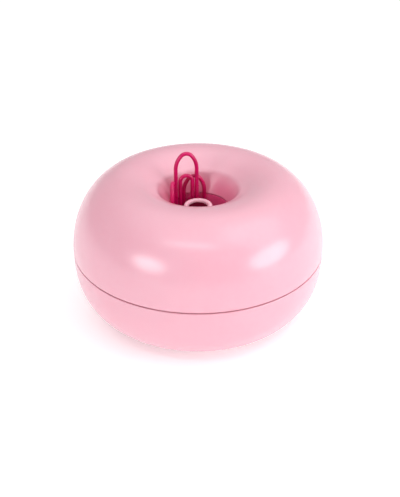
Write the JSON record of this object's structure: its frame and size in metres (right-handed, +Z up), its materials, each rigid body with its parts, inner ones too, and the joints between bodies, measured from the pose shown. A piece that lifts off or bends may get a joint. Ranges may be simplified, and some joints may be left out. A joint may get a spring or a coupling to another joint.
{
  "type": "magnetic paper clip dispenser",
  "caption": "Ring-shaped desk dispenser with a lift-off cover, a magnetic funnel throat round a guide post, and coated paper clips standing in the throat.",
  "frame": {"origin": "centre of the underside, on the surface that the dispenser stands on", "axes": "+Z up along the axis of the ring, -Y towards the viewer, +X to the viewer's right"},
  "size_m": [0.072, 0.072, 0.047],
  "materials": {
    "shell": "pale pink, polished mould",
    "liner": "pale pink, plain mould",
    "post": "pale pink, polished mould",
    "plug": "deep magenta",
    "neck": "magenta, satin",
    "nickel": "nickel plate",
    "ballast": "zinc-plated sheet",
    "screws": "zinc-plated",
    "feet": "matt grey rubber",
    "seal": "matt, dark rose",
    "clip_coating": "glossy magenta vinyl over steel wire"
  },
  "bodies": {
    "base": {"base_shell": "shell", "ballast_plate": "ballast", "ballast_screws": "screws", "hopper_liner": "liner", "guide_post": "post", "post_plug": "plug", "post_screw": "screws", "rubber_feet": "feet", "reserve_clips_lower": "clip_coating", "reserve_clips_middle": "clip_coating", "reserve_clips_upper": "clip_coating"},
    "turning_ring": {"seam_ring": "seal"},
    "cover": {"cover_shell": "shell", "neck_sleeve": "neck", "ring_magnet": "nickel"},
    "tall_clip": {"clip_tall": "clip_coating"},
    "right_clip": {"clip_right": "clip_coating"},
    "left_clip": {"clip_left": "clip_coating"}
  },
  "joints": [
    {"name": "cover_turn", "type": "hinge", "parent": "base", "child": "turning_ring", "pos_m": [0, 0, 0.0236], "axis": [0, 0, 1], "continuous": true},
    {"name": "cover_lift", "type": "slide", "parent": "turning_ring", "child": "cover", "axis": [0, 0, 1], "range_m": [0, 0.03]},
    {"name": "tall_clip_pull", "type": "slide", "parent": "base", "child": "tall_clip", "axis": [0, 0, 1], "range_m": [0, 0.034]},
    {"name": "right_clip_pull", "type": "slide", "parent": "base", "child": "right_clip", "axis": [0, 0, 1], "range_m": [0, 0.034]},
    {"name": "left_clip_pull", "type": "slide", "parent": "base", "child": "left_clip", "axis": [0, 0, 1], "range_m": [0, 0.034]}
  ]
}
